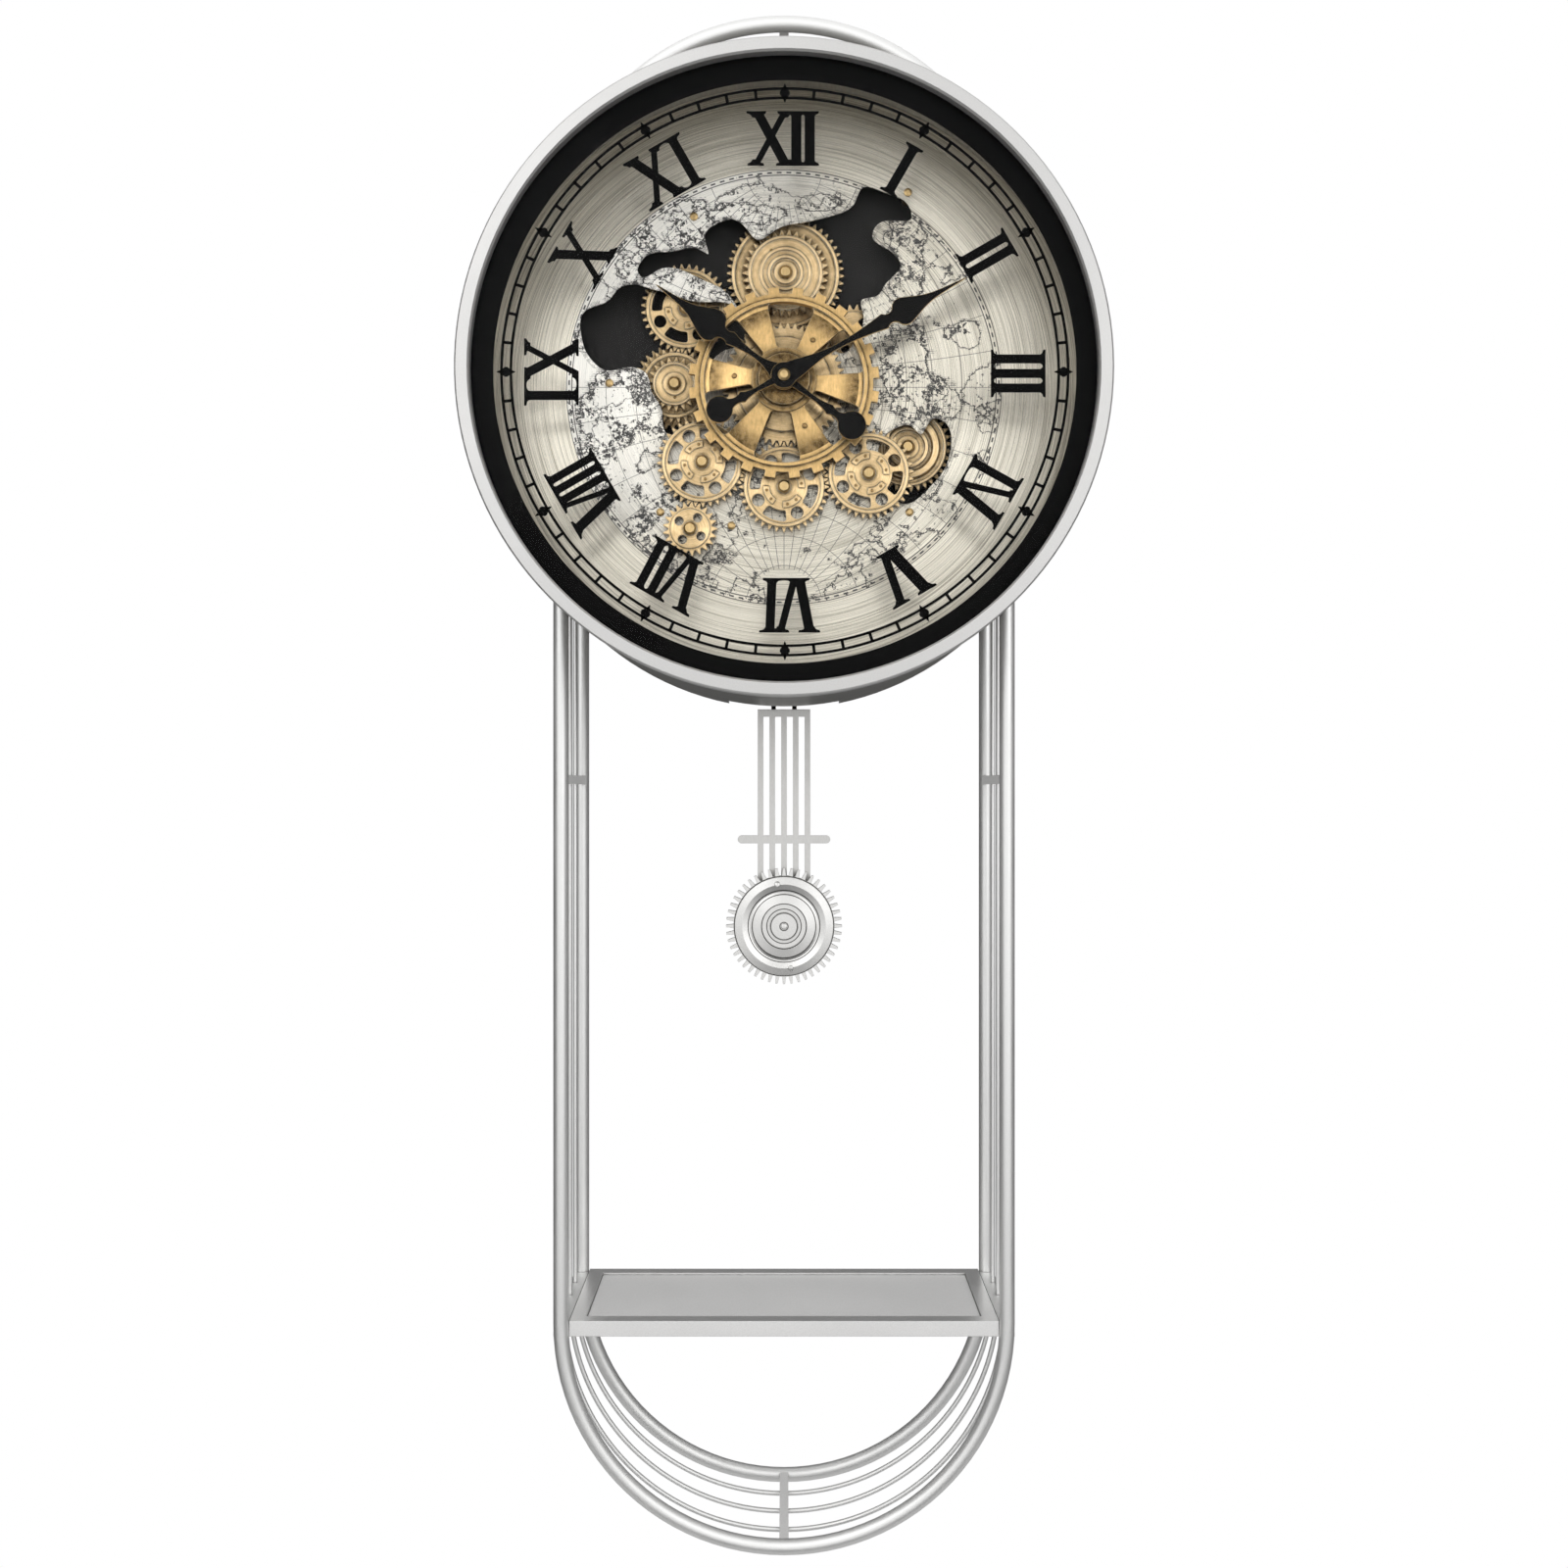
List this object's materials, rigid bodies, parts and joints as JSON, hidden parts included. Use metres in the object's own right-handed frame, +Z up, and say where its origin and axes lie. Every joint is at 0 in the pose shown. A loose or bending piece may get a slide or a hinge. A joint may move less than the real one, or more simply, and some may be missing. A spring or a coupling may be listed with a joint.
{
  "type": "wall clock",
  "caption": "Wall-hung open-gear clock with a glazed drum head, turning gear train, hands, swinging pendulum and a small shelf in a racetrack frame of bent bars and wires.",
  "frame": {"origin": "centre of the keyhole in the hanger bar, in the plane of the wall", "axes": "+Z up, +Y into the wall, +X to the right as seen from the front; the dial faces -Y"},
  "size_m": [0.4029, 0.18, 1],
  "materials": {
    "silver": "satin silver paint",
    "shelf_silver": "satin silver paint",
    "glass": "clear, printed behind",
    "liner_grey": "matt dark grey",
    "dial_metal": "turned brushed, printed",
    "black_plate": "matt black",
    "screw_brass": "polished",
    "gear_gold": "antiqued gold",
    "hand_black": "satin black, bright edge",
    "black_plastic": "moulded",
    "cell_jacket": "plain jacket",
    "pendulum_silver": "satin silver"
  },
  "bodies": {
    "case": {"front_hoop_upper": "silver", "front_hoop_lower": "silver", "back_hoop_upper": "silver", "back_hoop_lower": "silver", "crown_wires": "silver", "leg_wires": "silver", "base_wires": "silver", "cross_strips": "silver", "side_rails": "silver", "shelf_frame": "shelf_silver", "shelf_panel": "shelf_silver", "case_drum": "silver", "bezel": "silver", "glass": "glass", "inner_liner": "liner_grey", "dial_plate": "dial_metal", "dial_pillars": "screw_brass", "dial_screws": "screw_brass", "movement_plate": "black_plate", "plate_brackets": "black_plate", "hanger_bar": "black_plate", "gear_posts": "screw_brass", "post_caps": "screw_brass", "centre_bush": "screw_brass", "quartz_movement": "black_plastic", "movement_cell": "cell_jacket", "gear_motor": "black_plastic", "motor_cells": "cell_jacket", "pendulum_drive": "black_plastic", "drive_bracket": "black_plate"},
    "centre_train": {"centre_arbor": "gear_gold", "cog_wheel": "gear_gold", "centre_front_wheel": "gear_gold", "centre_rear_wheel": "gear_gold", "centre_drive_wheel": "gear_gold"},
    "bottom_gear": {"bottom_wheel": "gear_gold"},
    "lower_left_gear": {"lower_left_wheel": "gear_gold"},
    "lower_right_gear": {"lower_right_wheel": "gear_gold"},
    "small_pierced_gear": {"small_pierced_wheel": "gear_gold"},
    "top_pair": {"top_wheel_large": "gear_gold", "top_wheel_small": "gear_gold"},
    "upper_right_gear": {"upper_right_wheel": "gear_gold"},
    "idler": {"idler_pinion": "gear_gold"},
    "right_ringed_gear": {"right_ringed_wheel": "gear_gold"},
    "left_stack": {"left_wheel_front": "gear_gold", "left_wheel_middle": "gear_gold", "left_wheel_rear": "gear_gold"},
    "upper_left_gear": {"upper_left_wheel": "gear_gold"},
    "motor_drive": {"motor_pinion": "gear_gold"},
    "minute": {"minute_hand": "hand_black", "minute_shaft": "screw_brass", "hand_nut": "screw_brass"},
    "hour": {"hour_hand": "hand_black", "hour_pipe": "screw_brass"},
    "time_knob": {"set_knob": "black_plastic"},
    "pendulum": {"pendulum_hanger": "hand_black", "pendulum_grid": "pendulum_silver", "bob_wheel": "pendulum_silver", "bob_face": "pendulum_silver"}
  },
  "joints": [
    {"name": "centre_spin", "type": "hinge", "parent": "case", "child": "centre_train", "pos_m": [0, -0.1315, -0.15], "axis": [0, 1, 0], "continuous": true},
    {"name": "bottom_spin", "type": "hinge", "parent": "case", "child": "bottom_gear", "pos_m": [0, -0.1315, -0.21536], "axis": [0, 1, 0], "continuous": true},
    {"name": "lower_left_spin", "type": "hinge", "parent": "case", "child": "lower_left_gear", "pos_m": [-0.05236, -0.1315, -0.19945], "axis": [0, 1, 0], "continuous": true},
    {"name": "lower_right_spin", "type": "hinge", "parent": "case", "child": "lower_right_gear", "pos_m": [0.05405, -0.1315, -0.2068], "axis": [0, 1, 0], "continuous": true},
    {"name": "small_pierced_spin", "type": "hinge", "parent": "case", "child": "small_pierced_gear", "pos_m": [-0.06003, -0.1315, -0.24209], "axis": [0, 1, 0], "continuous": true},
    {"name": "top_spin", "type": "hinge", "parent": "case", "child": "top_pair", "pos_m": [0.00091, -0.118, -0.07553], "axis": [0, 1, 0], "continuous": true},
    {"name": "upper_right_spin", "type": "hinge", "parent": "case", "child": "upper_right_gear", "pos_m": [0.04522, -0.118, -0.1153], "axis": [0, 1, 0], "continuous": true},
    {"name": "idler_spin", "type": "hinge", "parent": "case", "child": "idler", "pos_m": [0.04477, -0.118, -0.17088], "axis": [0, 1, 0], "continuous": true},
    {"name": "right_ringed_spin", "type": "hinge", "parent": "case", "child": "right_ringed_gear", "pos_m": [0.0799, -0.118, -0.18726], "axis": [0, 1, 0], "continuous": true},
    {"name": "left_spin", "type": "hinge", "parent": "case", "child": "left_stack", "pos_m": [-0.07062, -0.1125, -0.14716], "axis": [0, 1, 0], "continuous": true},
    {"name": "upper_left_spin", "type": "hinge", "parent": "case", "child": "upper_left_gear", "pos_m": [-0.06364, -0.118, -0.09749], "axis": [0, 1, 0], "continuous": true},
    {"name": "motor_spin", "type": "hinge", "parent": "case", "child": "motor_drive", "pos_m": [0.03051, -0.1125, -0.19358], "axis": [0, 1, 0], "continuous": true},
    {"name": "minute_spin", "type": "hinge", "parent": "case", "child": "minute", "pos_m": [0, -0.1568, -0.15], "axis": [0, 1, 0], "continuous": true},
    {"name": "hour_spin", "type": "hinge", "parent": "case", "child": "hour", "pos_m": [0, -0.153, -0.15], "axis": [0, 1, 0], "continuous": true},
    {"name": "knob_spin", "type": "hinge", "parent": "case", "child": "time_knob", "pos_m": [-0.015, -0.087, -0.133], "axis": [0, 1, 0], "continuous": true},
    {"name": "pendulum_swing", "type": "hinge", "parent": "case", "child": "pendulum", "pos_m": [0, -0.024, -0.3], "axis": [0, 1, 0], "range_deg": [-5, 5]}
  ],
  "couplings": [
    {"joint": "bottom_spin", "follows": "centre_spin", "ratio": -1.3889},
    {"joint": "lower_left_spin", "follows": "centre_spin", "ratio": 1.3889},
    {"joint": "lower_right_spin", "follows": "centre_spin", "ratio": 1.3889},
    {"joint": "small_pierced_spin", "follows": "centre_spin", "ratio": -2.381},
    {"joint": "top_spin", "follows": "centre_spin", "ratio": -1.0417},
    {"joint": "upper_right_spin", "follows": "centre_spin", "ratio": -2},
    {"joint": "idler_spin", "follows": "centre_spin", "ratio": -3.3333},
    {"joint": "right_ringed_spin", "follows": "centre_spin", "ratio": 1.3889},
    {"joint": "left_spin", "follows": "centre_spin", "ratio": -1.6571},
    {"joint": "upper_left_spin", "follows": "centre_spin", "ratio": 1.381},
    {"joint": "motor_spin", "follows": "centre_spin", "ratio": -4.8333},
    {"joint": "hour_spin", "follows": "minute_spin", "ratio": 0.083333},
    {"joint": "knob_spin", "follows": "minute_spin", "ratio": -1}
  ]
}
